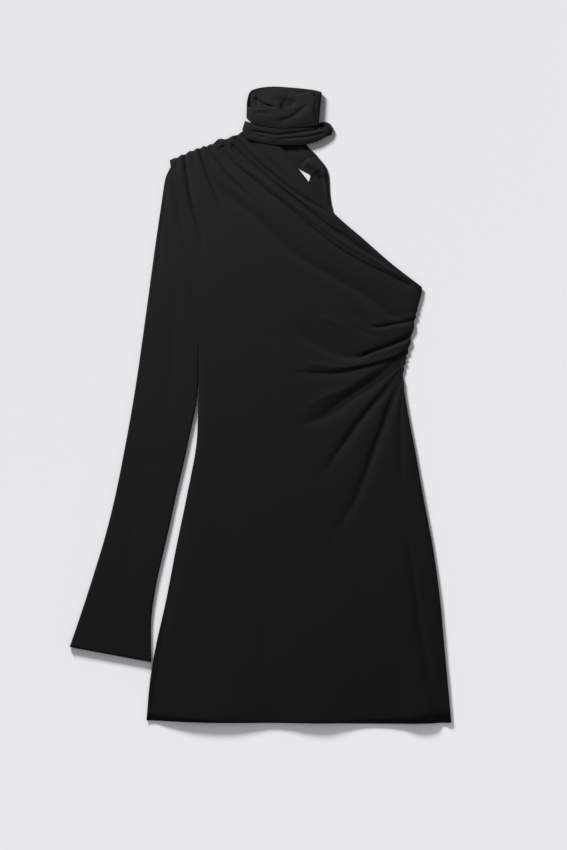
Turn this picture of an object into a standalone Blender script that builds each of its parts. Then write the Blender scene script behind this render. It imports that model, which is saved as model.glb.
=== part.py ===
"""One-shoulder mini dress of black jersey, laid flat face up, with a scarf collar.

X runs across the dress, +Y towards the collar and Z up from the table. The tables hold
millimetres and the finished meshes are in metres.
"""

import math
from collections import namedtuple

import bpy
import numpy as np

MM = 0.001

# Cloth.
WALL = 1.5  # thickness of every layer
TAIL_SEAM = 1.2  # the same beside the tail, whose edge stands half a wall off its middle line
FLOOR_LAYER = WALL / 2  # height of the middle of a layer that lies on the table
REST = WALL + 0.3  # lowest underside of a layer that lies on another one
LOFT = 4.75  # height of the middle of the front and of the top of the sleeve
STEEPEST = 0.8  # slope past which the front isn't thickened any further
BLACK_JERSEY = (0.012, 0.012, 0.013, 1.0)

# Front panel: the mesh, and how it comes down at its edges.
ROWS_PER_LINE = 4
FRONT_COLUMNS = 27
CROWDING = 0.5  # share of the columns' spacing that draws in towards the seams
SIDE_ROLL = 17.0  # distance over which the front comes down to a seam
HEM_ROLL = 7.0
NECKLINE_ROLL = 9.0
HEM_DROP = 0.6
NECKLINE_DROP = 0.7
HEM_RISE_REACH = 60.0  # how far up the skirt the waves of the hem go
FOLD_FADE = 0.35  # share of a fold's length over which an open end dies out
CREST = 0.35  # height of the ridges beside a fold, as a share of its depth
CREST_AT = 1.7  # distance of those ridges from the fold's line, in half widths
CREST_WIDTH = 0.7
PUCKER = 0.7  # height of the small gathers at a seam
PUCKER_REACH = 26.0
SCALLOP = 0.9  # how far the gathers push the edge in and out
SCALLOP_REACH = 6.0
SHOULDER_END = 175.0  # distance along the left edge past which there are no more gathers

# Back panel: it starts this many drape lines below the front's neckline.
BACK_NECKLINE = 0.5
BACK_STEP = 0.5
BACK_COLUMNS = 16
BACK_INSET = 0.5

# Sleeve: a tube pressed flat.
SLEEVE_TOP_POINTS = 11
SLEEVE_ROLL_POINTS = 3
SLEEVE_FLOOR_POINTS = 5
SLEEVE_RINGS = 28
ARMHOLE_GAP = 0.7  # sideways gap at the armhole, which the layers meet at a slant
UNDERARM_GAP = 1.1
BOWED_ROWS = 4  # rows of the sleeve over which its rings take on the armhole's curve

Point = namedtuple("Point", "x y")

# The left edge of the body, in the stretches between its corners.
NECK_EDGE = [Point(24, 382), Point(2, 387), Point(-24, 397)]
SHOULDER_SEAM = [
    Point(-24, 397), Point(-36, 391.5), Point(-47, 387), Point(-60, 385), Point(-72, 378),
    Point(-85, 374), Point(-99, 369), Point(-117, 361), Point(-132, 355),
]
ARMHOLE = [Point(-132, 355), Point(-109, 222), Point(-91, 87)]
LEFT_SIDE_SEAM = [
    Point(-91, 87), Point(-90, 29), Point(-91, -22), Point(-94, -65), Point(-108, -138),
    Point(-123, -210), Point(-137, -283), Point(-153, -355), Point(-161, -406), Point(-165.5, -457.5),
]
RIGHT_SIDE_SEAM = [
    Point(234, 171), Point(233.5, 162), Point(227, 138), Point(219.5, 102), Point(210, 61),
    Point(207, 44), Point(211, 4), Point(224, -65), Point(237, -138), Point(250.5, -210),
    Point(260.5, -283), Point(267, -355), Point(272.5, -413), Point(277, -462.5),
]

# The lines that the cloth of the front hangs in, from the shoulder round to the gathered side.
# start and end are distances along the left and right edges; the points stand at a fifth, two
# fifths, three fifths and four fifths of the way.
DrapeLine = namedtuple("DrapeLine", "name place start x1 y1 x2 y2 x3 y3 x4 y4 end")
DRAPE_LINES = [
    DrapeLine("neckline", 0, 0, 61, 335, 105, 280, 150, 240, 190.5, 204.5, 0),
    DrapeLine("neck fold 1", 1, 47, 8, 345, 57, 302, 109, 264, 169, 214, 7),
    DrapeLine("neck fold 2", 2, 60, -7, 341, 43, 300, 104, 255, 165, 209, 13),
    DrapeLine("neck fold 3", 3, 79, -21, 336, 33, 290, 94, 245, 159, 200, 18),
    DrapeLine("chest fold 1", 4, 100, -38, 325, 17, 274, 83, 228, 156, 180, 29),
    DrapeLine("chest fold 2", 5, 109, -53, 310, 4, 251, 76, 199, 153, 152, 40),
    DrapeLine("chest fold 3", 6, 119, -63, 299, -17, 219, 59, 148, 141, 115, 49),
    DrapeLine("side fold 1", 7, 129, -79, 286, -40, 186, 38, 100, 131, 73, 75),
    DrapeLine("side fold 2", 8, 142, -92, 270, -58, 160, 7, 61, 107, 44, 91),
    DrapeLine("waist fold 1", 9, 155, -100, 256, -70, 135, -13, 21, 92, -3, 103),
    DrapeLine("shoulder tip", 10, 166.5, -106, 242, -80, 114, -28, -3, 82, -20, 109),
    DrapeLine("armhole 1", 10.25, 235, -99, 180, -72, 68, -17, -28, 90, -27, 111),
    DrapeLine("armhole 2", 10.5, 300, -91, 120, -62, 23, -3, -55, 100, -33, 113),
    DrapeLine("armhole 3", 10.75, 370, -82, 60, -47, -30, 16, -79, 111, -39, 115),
    DrapeLine("waist fold 2", 11, 438, -72, 1, -30, -81, 38, -103, 123, -46, 117),
    DrapeLine("skirt fold 1", 12, 547, -70, -123, -24, -210, 60, -228, 141, -116, 130),
    DrapeLine("skirt fold 2", 13, 664, -80, -246, -15, -329, 86, -335, 173, -196, 159),
    DrapeLine("skirt fold 3", 14, 812, -80, -377, 7, -413, 108, -413, 205, -312, 351),
    DrapeLine("hem", 15, 990, -78, -460.5, 11, -461, 99, -461.5, 188, -462.5, 640.5),
]

# How much of the drop to the seam each place on the left edge has. The armhole stays up, level
# with the top of the sleeve, and so does the neck edge under the scarf.
Drop = namedtuple("Drop", "distance share")
LEFT_DROPS = [
    Drop(0, 0.3), Drop(40, 0.3), Drop(60, 0.9), Drop(155, 0.9), Drop(175, 0.3), Drop(210, 0.0),
    Drop(390, 0.0), Drop(425, 0.4), Drop(445, 1.0), Drop(990, 1.0),
]

# Main folds of the front. line_from and line_to count drape lines, which the fold follows from
# across_from to across_to, and half_width is counted in drape lines too.
Fold = namedtuple("Fold", "name line_from line_to across_from across_to depth half_width")
FOLDS = [
    Fold("under the collar", 2.1, 0.8, 0.0, 0.55, 2.0, 0.50),
    Fold("neck, main", 2.7, 1.4, 0.0, 0.78, 2.0, 0.45),
    Fold("neck, outer", 3.5, 2.6, 0.0, 0.90, 1.8, 0.45),
    Fold("chest, short", 4.7, 3.9, 0.0, 0.36, 1.4, 0.40),
    Fold("chest, long", 5.3, 4.9, 0.0, 0.95, 1.1, 0.60),
    Fold("shoulder, inner", 6.1, 5.8, 0.0, 0.34, 1.7, 0.45),
    Fold("shoulder, outer", 8.1, 7.8, 0.0, 0.36, 1.6, 0.45),
    Fold("belly", 7.0, 7.4, 0.36, 0.70, 0.8, 0.60),
    Fold("gathered side 1", 5.7, 5.9, 0.70, 1.0, 1.4, 0.45),
    Fold("gathered side 2", 6.5, 7.0, 0.58, 1.0, 2.0, 0.50),
    Fold("gathered side 3", 7.9, 8.7, 0.66, 1.0, 1.3, 0.45),
    Fold("gathered side 4", 10.3, 8.9, 0.66, 1.0, 2.0, 0.50),
    Fold("gathered side 5", 11.3, 11.5, 0.66, 1.0, 1.8, 0.45),
    Fold("gathered side 6", 12.2, 12.1, 0.62, 1.0, 1.4, 0.45),
]
SHOULDER_GATHERS = (1.0, 9.5)  # drape lines between which the shoulder seam is gathered
SIDE_GATHERS = (4.5, 12.5)

# The hem stands off the back in waves: how far above or below the rest of the front it is.
HemRise = namedtuple("HemRise", "x rise")
HEM_RISES = [
    HemRise(-150, -1.8), HemRise(-122, 0.4), HemRise(-95, 1.0), HemRise(-55, 1.2),
    HemRise(-15, 0.5), HemRise(12, -0.6), HemRise(38, -0.2), HemRise(62, 1.0), HemRise(90, 1.2),
    HemRise(122, 0.0), HemRise(150, -1.8), HemRise(172, -2.0), HemRise(200, -0.8),
    HemRise(224, 1.0), HemRise(245, 0.7), HemRise(265, -1.6),
]

# Sleeve, from the cuff to the armhole: its outer and inner edge, and the depth of its creases.
SleeveRow = namedtuple("SleeveRow", "outer_x outer_y inner_x inner_y crease")
SLEEVE = [
    SleeveRow(-277, -351, -158.5, -373, 0.0),
    SleeveRow(-266, -319, -159, -341, 0.1),
    SleeveRow(-254, -283, -158, -306, 0.2),
    SleeveRow(-240, -239, -151.5, -262, 0.3),
    SleeveRow(-227, -196, -142, -219, 0.3),
    SleeveRow(-215.5, -152, -131.5, -174, 0.3),
    SleeveRow(-206, -109, -122, -129, 0.3),
    SleeveRow(-197.5, -65, -111, -83, 0.4),
    SleeveRow(-189.5, -22, -102, -41, 0.5),
    SleeveRow(-181, 29, -95.5, -7, 0.6),
    SleeveRow(-173.5, 80, -93, 16, 0.6),
    SleeveRow(-166.5, 130, -92.2, 36, 0.7),
    SleeveRow(-159.5, 181, -92.2, 52, 0.8),
    SleeveRow(-152.5, 232, -92.2, 67, 1.0),
    SleeveRow(-145, 283, -92.2, 78, 1.2),
    SleeveRow(-138.5, 326, -92.1, 84, 1.2),
]

# Creases that run down the sleeve: where they stand between the outer and the inner edge.
SleeveCrease = namedtuple("SleeveCrease", "place half_width share")
SLEEVE_CREASES = [
    SleeveCrease(0.22, 0.09, 0.8),
    SleeveCrease(0.48, 0.10, 1.0),
    SleeveCrease(0.74, 0.09, 0.6),
]

# Scarf: each wrap is a band that goes round the neck, pressed flat. A section runs from the
# lower to the upper edge of the band, and z is the middle of the cloth.
Section = namedtuple("Section", "name low_x low_y low_z high_x high_y high_z bulge")
LOWER_WRAP = [
    Section("left fold", -26, 399.5, 5.5, -22, 412, 5.5, 0.8),
    Section("front", -20, 387, 7.7, -15, 409, 8.6, 1.5),
    Section("front", -4, 381.5, 7.9, 2, 407, 9.4, 1.8),
    Section("front", 17, 377.5, 7.9, 21, 405, 9.6, 1.9),
    Section("front", 42, 376.5, 7.9, 45, 404, 9.6, 1.9),
    Section("front", 64, 377.5, 7.8, 66, 403, 9.4, 1.7),
    Section("front", 81, 381.5, 7.4, 82, 401.5, 8.8, 1.3),
    Section("right fold", 95, 389, 6.0, 98, 402.5, 7.2, 0.8),
    Section("tip", 103, 392.5, 3.8, 104.5, 400, 4.2, 0.0),
    Section("right fold", 99, 391, 1.4, 101, 408, 1.4, 0.0),
    Section("back", 89, 390, FLOOR_LAYER, 91, 411, FLOOR_LAYER, 0.0),
    Section("back", 74, 389, FLOOR_LAYER, 76, 406.5, FLOOR_LAYER, 0.0),
    Section("back", 50, 389.5, FLOOR_LAYER, 53, 406.5, FLOOR_LAYER, 0.0),
    Section("back", 21, 389.5, FLOOR_LAYER, 24, 406.5, FLOOR_LAYER, 0.0),
    Section("back", -6, 390.6, FLOOR_LAYER, -4, 408, FLOOR_LAYER, 0.0),
    Section("left fold", -20, 399.5, 1.7, -18, 410, 1.7, 0.0),
]
UPPER_WRAP = [
    Section("left fold", -20, 416, 7.5, -19.5, 434, 7.5, 0.5),
    Section("front", -13.5, 409, 11.6, -13.5, 431, 11.2, 1.2),
    Section("front", 2, 404, 12.4, 2, 429, 12.2, 1.8),
    Section("front", 28, 400.5, 12.6, 28, 428, 12.0, 2.2),
    Section("front", 54, 401.5, 12.6, 49, 429, 12.0, 2.2),
    Section("front", 75, 403.5, 12.0, 72, 441.5, 11.4, 2.0),
    Section("right fold", 82.5, 404.5, 9.9, 84.5, 451.5, 9.0, 0.8),
    Section("right fold", 84, 407.5, 6.5, 88.5, 453, 5.5, 0.0),
    Section("right fold", 81, 411.5, 3.2, 83, 456, 2.0, 0.0),
    Section("back", 69, 411, FLOOR_LAYER, 70, 458.5, FLOOR_LAYER, 0.0),
    Section("back", 43, 411, FLOOR_LAYER, 43, 461.2, FLOOR_LAYER, 0.0),
    Section("back", 17, 411, FLOOR_LAYER, 16, 462.5, FLOOR_LAYER, 0.0),
    Section("back", -6, 412.5, FLOOR_LAYER, -6, 459.5, FLOOR_LAYER, 0.0),
    Section("left fold", -16, 416, 2.6, -16, 453, 2.6, 0.0),
]
WRAP_STEPS = 2  # sections made from each one in the tables
WRAP_COLUMNS = 6

# The stretch of scarf that shows inside the collar, lying on the back of the upper wrap.
INNER_WRAP = [
    Section("left end", -7, 438, 4.3, -8, 450, 4.6, 0.0),
    Section("crease", 2, 430, 3.4, 2, 457.5, 3.0, 0.6),
    Section("crease", 14, 424, 3.2, 14, 459.5, 2.7, 0.9),
    Section("crease", 29, 422, 3.2, 29, 459.5, 2.7, 0.9),
    Section("crease", 44, 428, 3.3, 43, 458.5, 2.7, 0.8),
    Section("crease", 58, 436, 3.6, 57, 457, 3.0, 0.5),
    Section("right end", 74, 446, 4.4, 72, 454.5, 4.2, 0.0),
]
INNER_COLUMNS = 5

# The tail of the scarf: a twisted strip from under the collar to the back panel. Its cloth lies
# flat at z and has one ridge, ridge_at of the way from its left to its right edge. From the row
# where sewn_at is given, its left edge is sewn to the back panel's neckline, that share of the
# way along it.
TailRow = namedtuple("TailRow", "left_x left_y right_x right_y z ridge ridge_at ridge_width sewn_at")
TAIL = [
    TailRow(26, 388.6, 62, 388.4, 0.75, 0.3, 0.5, 0.30, None),
    TailRow(30.5, 374.5, 68.5, 375.5, 0.75, 1.2, 0.5, 0.30, None),
    TailRow(41.5, 359.5, 79, 365.5, 0.75, 2.3, 0.55, 0.28, None),
    TailRow(52, 346.5, 87, 356, 0.75, 3.2, 0.62, 0.28, None),
    TailRow(62.5, 340, 94.5, 346, 0.75, 3.4, 0.66, 0.26, None),
    TailRow(71.5, 334.5, 98.5, 334, 0.75, 2.6, 0.70, 0.26, None),
    TailRow(71, 327, 100, 323, 0.75, 2.2, 0.74, 0.22, None),
    TailRow(67, 318, 100.5, 311.5, 0.75, 2.4, 0.84, 0.12, None),
    TailRow(0, 0, 102, 298.5, 0.75, 2.2, 0.86, 0.10, 0.34),
    TailRow(0, 0, 104.5, 285.5, 0.75, 1.0, 0.87, 0.09, 0.39),
    TailRow(0, 0, 107.5, 274.5, 0.75, 0.0, 0.88, 0.09, 0.44),
]
TAIL_STEPS = 2
TAIL_COLUMNS = 12


def clear_scene():
    for item in list(bpy.data.objects):
        bpy.data.objects.remove(item, do_unlink=True)


def blend(before, first, second, after, share):
    """Point on the smooth curve from first to second that also heeds the two beyond them."""
    square = share * share
    return 0.5 * (
        2 * first
        + (second - before) * share
        + (2 * before - 5 * first + 4 * second - after) * square
        + (3 * first - before - 3 * second + after) * square * share
    )


def smooth_at(points, place):
    """Value at a fractional place in a list of points that the curve passes through."""
    last = len(points) - 1
    index = min(int(place), last - 1)
    before = points[index - 1] if index else 2 * points[0] - points[1]
    after = points[index + 2] if index + 2 <= last else 2 * points[last] - points[last - 1]
    return blend(before, points[index], points[index + 1], after, place - index)


def smooth_curve(points, count):
    points = np.asarray(points, float)
    return np.array([smooth_at(points, place) for place in np.linspace(0, len(points) - 1, count)])


def edge_line(stretches):
    """Close-set points along an edge whose stretches meet in corners."""
    curves = [smooth_curve(stretch, 30 * len(stretch)) for stretch in stretches]
    return np.vstack([curves[0]] + [curve[1:] for curve in curves[1:]])


def distances_along(line):
    steps = np.hypot(*np.diff(line, axis=0).T)
    return np.concatenate([[0.0], np.cumsum(steps)])


def point_at(line, distance):
    along = distances_along(line)
    return np.array([np.interp(distance, along, line[:, axis]) for axis in (0, 1)])


LEFT_EDGE = edge_line([NECK_EDGE, SHOULDER_SEAM, ARMHOLE, LEFT_SIDE_SEAM])
RIGHT_EDGE = edge_line([RIGHT_SIDE_SEAM])
LINE_PLACES = [line.place for line in DRAPE_LINES]
LINE_STARTS = [line.start for line in DRAPE_LINES]
LINE_ENDS = [line.end for line in DRAPE_LINES]
LINE_MIDDLES = np.array([line[3:11] for line in DRAPE_LINES], float).reshape(-1, 4, 2)


def drape_points(place):
    """The six points of the drape line at a place, which may lie between two lines of the table."""
    start = point_at(LEFT_EDGE, np.interp(place, LINE_PLACES, LINE_STARTS))
    end = point_at(RIGHT_EDGE, np.interp(place, LINE_PLACES, LINE_ENDS))
    index = np.interp(place, LINE_PLACES, range(len(DRAPE_LINES)))
    return np.vstack([start, smooth_at(LINE_MIDDLES, index), end])


def drape_line(place, columns):
    points = drape_points(place)
    return np.array([smooth_at(points, across * 5) for across in columns])


def crowded(count):
    """Shares from 0 to 1 that stand closer together near both ends."""
    even = np.linspace(0, 1, count)
    eased = 0.5 - 0.5 * np.cos(math.pi * even)
    return (1 - CROWDING) * even + CROWDING * eased


def nearest(points, line):
    """Distance from each point to a line, and the place of the nearest point of the line."""
    gaps = np.linalg.norm(points[..., None, :] - line, axis=-1)
    return gaps.min(axis=-1), gaps.argmin(axis=-1)


def roll_down(distance, reach):
    """1 at an edge and 0 past the reach, falling as a quarter of an ellipse."""
    inside = 1 - np.clip(distance / reach, 0, 1)
    return 1 - np.sqrt(np.clip(1 - inside * inside, 0, 1))


def ease(share):
    share = np.clip(share, 0, 1)
    return share * share * (3 - 2 * share)


def fold_height(places, across):
    """Height that the main folds add: a trough on each fold's line, and low ridges beside it."""
    height = np.zeros(np.broadcast(places, across).shape)
    for fold in FOLDS:
        length = fold.across_to - fold.across_from
        along = (across - fold.across_from) / length
        line = fold.line_from + (fold.line_to - fold.line_from) * np.clip(along, 0, 1)
        offset = (places - line) / fold.half_width
        crests = np.exp(-(((np.abs(offset) - CREST_AT) / CREST_WIDTH) ** 2))
        trough = np.exp(-offset * offset) - CREST * crests
        opens = 1.0 if fold.across_from == 0 else ease(along / FOLD_FADE)
        closes = 1.0 if fold.across_to == 1 else ease((1 - along) / FOLD_FADE)
        inside = (along >= 0) & (along <= 1)
        height -= fold.depth * trough * opens * closes * inside
    return height


def gather_share(places, limits, distance):
    """How strongly a seam's gathers show: full on the seam and gone past their reach."""
    first, last = limits
    inside = ease(places - first + 0.5) * ease(last + 0.5 - places)
    return inside * np.exp(-((distance / PUCKER_REACH) ** 2))


def front_surface():
    """Grid of plan points of the front, and the height of the middle of its cloth."""
    places = np.arange(0, DRAPE_LINES[-1].place * ROWS_PER_LINE + 1) / ROWS_PER_LINE
    across = crowded(FRONT_COLUMNS)
    plan = np.array([drape_line(place, across) for place in places])
    row = places[:, None]
    column = across[None, :]
    from_left, left_index = nearest(plan, LEFT_EDGE)
    from_right = nearest(plan, RIGHT_EDGE)[0]
    from_neckline = nearest(plan, plan[0])[0]
    from_hem = nearest(plan, plan[-1])[0]
    left_along = distances_along(LEFT_EDGE)[left_index]
    share = np.interp(left_along, [drop.distance for drop in LEFT_DROPS],
                      [drop.share for drop in LEFT_DROPS])
    drop = np.maximum.reduce([
        share * roll_down(from_left, SIDE_ROLL),
        roll_down(from_right, SIDE_ROLL),
        HEM_DROP * roll_down(from_hem, HEM_ROLL),
        NECKLINE_DROP * roll_down(from_neckline, NECKLINE_ROLL),
    ])
    shoulder = gather_share(row, SHOULDER_GATHERS, from_left) * (left_along < SHOULDER_END)
    side = gather_share(row, SIDE_GATHERS, from_right)
    gathers = np.cos(2 * math.pi * row) * (shoulder + side)
    hem = np.array(HEM_RISES, float)
    rise = np.interp(plan[..., 0], hem[:, 0], hem[:, 1]) * np.exp(-((from_hem / HEM_RISE_REACH) ** 2))
    rise *= 1 - np.maximum(roll_down(from_right, SIDE_ROLL), share * roll_down(from_left, SIDE_ROLL))
    height = (LOFT + fold_height(row, column) - PUCKER * gathers) * (1 - drop) + rise
    height += drop * (REST + WALL / 2)
    scallop = SCALLOP * np.cos(2 * math.pi * row)
    plan[..., 1] -= scallop * shoulder * np.exp(-from_left / SCALLOP_REACH)
    plan[..., 0] -= scallop * side * np.exp(-from_right / SCALLOP_REACH)
    return plan, height


def slopes_of(plan, height):
    """Steepness of the surface at each grid point."""
    along_row = np.gradient(plan, axis=1)
    along_column = np.gradient(plan, axis=0)
    rise_row = np.gradient(height, axis=1)
    rise_column = np.gradient(height, axis=0)
    area = along_row[..., 0] * along_column[..., 1] - along_row[..., 1] * along_column[..., 0]
    area = np.where(np.abs(area) < 1e-6, 1e-6, area)
    slope_x = (rise_row * along_column[..., 1] - rise_column * along_row[..., 1]) / area
    slope_y = (rise_column * along_row[..., 0] - rise_row * along_column[..., 0]) / area
    return np.hypot(slope_x, slope_y)


def sheet_faces(rows, columns, closed_rows=False, closed_columns=False):
    """Faces of a doubled grid: the upper side, the lower side and the rims that join them."""
    def upper(row, column):
        return (row % rows) * columns + column % columns

    def lower(row, column):
        return upper(row, column) + rows * columns

    faces = []
    row_steps = rows if closed_rows else rows - 1
    column_steps = columns if closed_columns else columns - 1
    for row in range(row_steps):
        for column in range(column_steps):
            corners = [(row, column), (row, column + 1), (row + 1, column + 1), (row + 1, column)]
            faces.append([upper(*corner) for corner in corners])
            faces.append([lower(*corner) for corner in reversed(corners)])
    for row in range(row_steps if not closed_columns else 0):
        for column, after, before in ((0, row, row + 1), (columns - 1, row + 1, row)):
            faces.append([upper(before, column), lower(before, column),
                          lower(after, column), upper(after, column)])
    for column in range(column_steps if not closed_rows else 0):
        for row, after, before in ((0, column + 1, column), (rows - 1, column, column + 1)):
            faces.append([upper(row, before), lower(row, before),
                          lower(row, after), upper(row, after)])
    return faces


def jersey(name):
    material = bpy.data.materials.new(name)
    material.use_nodes = True
    shader = material.node_tree.nodes["Principled BSDF"]
    shader.inputs["Base Color"].default_value = BLACK_JERSEY
    shader.inputs["Roughness"].default_value = 0.9
    material.diffuse_color = BLACK_JERSEY
    return material


def make_piece(name, upper, lower, closed_rows=False, closed_columns=False):
    """Makes one closed object from the two sides of its cloth, given in millimetres."""
    rows, columns = upper.shape[:2]
    points = np.vstack([upper.reshape(-1, 3), lower.reshape(-1, 3)]) * MM
    faces = sheet_faces(rows, columns, closed_rows, closed_columns)
    mesh = bpy.data.meshes.new(name)
    mesh.from_pydata(points.tolist(), [], faces)
    corners = points[[corner for face in faces for corner in (face[0], face[1], face[2])]]
    if np.linalg.det(corners.reshape(-1, 3, 3)).sum() < 0:
        mesh.flip_normals()
    mesh.materials.append(jersey(name + "_jersey"))
    piece = bpy.data.objects.new(name, mesh)
    bpy.context.scene.collection.objects.link(piece)
    return piece


def offset_sides(middle, closed_rows=False):
    """Both sides of a sheet, half the wall away from its middle along the surface normals."""
    if closed_rows:
        padded = np.concatenate([middle[-1:], middle, middle[:1]])
        down = (padded[2:] - padded[:-2]) / 2
    else:
        down = np.gradient(middle, axis=0)
    normals = np.cross(np.gradient(middle, axis=1), down)
    normals /= np.linalg.norm(normals, axis=-1, keepdims=True)
    return middle + normals * WALL / 2, middle - normals * WALL / 2


def build_front():
    plan, height = front_surface()
    slope = np.minimum(slopes_of(plan, height), STEEPEST)
    thickness = WALL * np.sqrt(1 + slope * slope)
    under = np.maximum(height - thickness / 2, REST)
    lower = np.dstack([plan, under])
    upper = np.dstack([plan, under + thickness])
    make_piece("front_panel", upper, lower)


def back_line(place):
    """Row of the back panel. Its sides stand a little inside those of the front."""
    row = drape_line(place, np.linspace(0, 1, BACK_COLUMNS))
    inward = (row[-1] - row[0]) / np.linalg.norm(row[-1] - row[0]) * BACK_INSET
    row[0] += inward
    row[-1] -= inward
    return row


def build_back():
    last = DRAPE_LINES[-1].place
    places = np.concatenate([[BACK_NECKLINE], np.arange(1, last + BACK_STEP, BACK_STEP)])
    plan = np.array([back_line(place) for place in places])
    flat = np.zeros(plan.shape[:2])
    make_piece("back_panel", np.dstack([plan, flat + WALL]), np.dstack([plan, flat]))


def sleeve_rows():
    """The sleeve's table with a last row that stands just off the armhole."""
    tip = ARMHOLE[0]
    underarm = ARMHOLE[-1]
    last = SleeveRow(tip.x - ARMHOLE_GAP, tip.y, underarm.x - UNDERARM_GAP, underarm.y,
                     SLEEVE[-1].crease)
    return np.array([tuple(row) for row in SLEEVE] + [tuple(last)], float)


def sleeve_ring(outer, inner, crease, armhole_bow):
    """One ring of the flattened tube: middle points of the cloth and their outward directions."""
    width = np.linalg.norm(inner - outer)
    across = (inner - outer) / width
    radius = (LOFT - FLOOR_LAYER) / 2
    margin = radius + WALL / 2
    section = []
    for share in np.linspace(0, 1, SLEEVE_FLOOR_POINTS):
        section.append((margin + share * (width - 2 * margin), FLOOR_LAYER))
    for step in range(1, SLEEVE_ROLL_POINTS + 1):
        angle = math.pi * step / (SLEEVE_ROLL_POINTS + 1)
        section.append((width - margin + radius * math.sin(angle),
                        FLOOR_LAYER + radius * (1 - math.cos(angle))))
    for share in np.linspace(1, 0, SLEEVE_TOP_POINTS):
        dip = sum(item.share * math.exp(-(((share - item.place) / item.half_width) ** 2))
                  for item in SLEEVE_CREASES)
        section.append((margin + share * (width - 2 * margin), LOFT - crease * dip))
    for step in range(1, SLEEVE_ROLL_POINTS + 1):
        angle = math.pi * step / (SLEEVE_ROLL_POINTS + 1)
        section.append((margin - radius * math.sin(angle),
                        FLOOR_LAYER + radius * (1 + math.cos(angle))))
    section = np.array(section)
    tangent = np.roll(section, -1, axis=0) - np.roll(section, 1, axis=0)
    outward = np.stack([tangent[:, 1], -tangent[:, 0]], axis=1)
    outward /= np.linalg.norm(outward, axis=1, keepdims=True)
    rings = []
    for side in (section + outward * WALL / 2, section - outward * WALL / 2):
        shares = side[:, 0] / width
        bow = armhole_bow * 4 * shares * (1 - shares)
        square_to = np.array([across[1], -across[0]])
        plan = outer + side[:, :1] * across - bow[:, None] * square_to
        rings.append(np.column_stack([plan, side[:, 1]]))
    return rings


def build_sleeve():
    rows = sleeve_rows()
    last = len(rows) - 1
    middle = np.array(ARMHOLE[1], float)
    chord = (np.array(ARMHOLE[0], float) + np.array(ARMHOLE[2], float)) / 2
    bow = np.linalg.norm(middle - chord)
    outer_rings = []
    inner_rings = []
    for place in np.linspace(0, last, SLEEVE_RINGS):
        row = smooth_at(rows, place)
        bowed = bow * ease((place - last + BOWED_ROWS) / BOWED_ROWS)
        outside, inside = sleeve_ring(row[0:2], row[2:4], row[4], bowed)
        outer_rings.append(outside)
        inner_rings.append(inside)
    make_piece("sleeve", np.array(outer_rings), np.array(inner_rings), closed_columns=True)


def band(sections, steps, columns, closed):
    """Middle surface of a band, from its sections, with its bulge between the two edges."""
    table = np.array([tuple(section)[1:] for section in sections], float)
    if closed:
        table = np.concatenate([table[-1:], table, table[:2]])
        places = 1 + np.arange(len(sections) * steps) / steps
    else:
        places = np.linspace(0, len(table) - 1, (len(table) - 1) * steps + 1)
    shares = np.linspace(0, 1, columns)[:, None]
    surface = []
    for place in places:
        section = smooth_at(table, place)
        low, high, bulge = section[0:3], section[3:6], section[6]
        points = low + (high - low) * shares
        points[:, 2] = np.maximum(points[:, 2] + bulge * 4 * (shares * (1 - shares))[:, 0], FLOOR_LAYER)
        surface.append(points)
    return np.array(surface)


def build_wraps():
    for name, sections in (("scarf_lower_wrap", LOWER_WRAP), ("scarf_upper_wrap", UPPER_WRAP)):
        middle = band(sections, WRAP_STEPS, WRAP_COLUMNS, True)
        upper, lower = offset_sides(middle, closed_rows=True)
        make_piece(name, upper, lower, closed_rows=True)
    middle = band(INNER_WRAP, WRAP_STEPS, INNER_COLUMNS, False)
    upper, lower = offset_sides(middle)
    make_piece("scarf_inner_wrap", upper, lower)


def tail_table():
    """The tail's table as numbers, with the sewn left edge set beside the back's neckline."""
    table = []
    for row in TAIL:
        left = np.array([row.left_x, row.left_y])
        if row.sewn_at is not None:
            here, ahead = drape_line(BACK_NECKLINE, [row.sewn_at, row.sewn_at + 0.01])
            along = (ahead - here) / np.linalg.norm(ahead - here)
            left = here + np.array([-along[1], along[0]]) * TAIL_SEAM
        table.append([*left, *row[2:8]])
    return np.array(table)


def build_tail():
    table = tail_table()
    last = len(table) - 1
    shares = np.linspace(0, 1, TAIL_COLUMNS)
    middle = []
    for place in np.linspace(0, last, last * TAIL_STEPS + 1):
        row = smooth_at(table, place)
        plan = row[0:2] + (row[2:4] - row[0:2]) * shares[:, None]
        height, ridge, ridge_at, ridge_width = row[4:8]
        rise = ridge * np.exp(-(((shares - ridge_at) / ridge_width) ** 2))
        middle.append(np.column_stack([plan, np.maximum(height, FLOOR_LAYER) + np.maximum(rise, 0)]))
    upper, lower = offset_sides(np.array(middle))
    make_piece("scarf_tail", upper, lower)


def build():
    clear_scene()
    build_back()
    build_front()
    build_sleeve()
    build_wraps()
    build_tail()


build()
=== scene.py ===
"""One-shoulder dress laid flat: fine cloth on the frame's solids, floor, light and camera."""

import math
from collections import namedtuple

import bpy
import numpy as np
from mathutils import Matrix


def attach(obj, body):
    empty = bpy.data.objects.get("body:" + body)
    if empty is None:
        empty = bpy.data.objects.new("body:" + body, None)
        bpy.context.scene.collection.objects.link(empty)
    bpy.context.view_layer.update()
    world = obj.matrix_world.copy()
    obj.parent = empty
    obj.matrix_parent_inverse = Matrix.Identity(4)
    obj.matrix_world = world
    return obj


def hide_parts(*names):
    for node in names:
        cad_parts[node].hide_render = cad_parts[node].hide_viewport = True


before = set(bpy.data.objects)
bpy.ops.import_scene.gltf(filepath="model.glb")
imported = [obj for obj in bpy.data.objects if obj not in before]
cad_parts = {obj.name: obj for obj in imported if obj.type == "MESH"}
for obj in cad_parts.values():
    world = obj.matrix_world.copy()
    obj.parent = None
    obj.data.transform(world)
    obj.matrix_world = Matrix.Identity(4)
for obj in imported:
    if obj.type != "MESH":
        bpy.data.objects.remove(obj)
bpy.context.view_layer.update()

MM = 0.001

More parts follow.
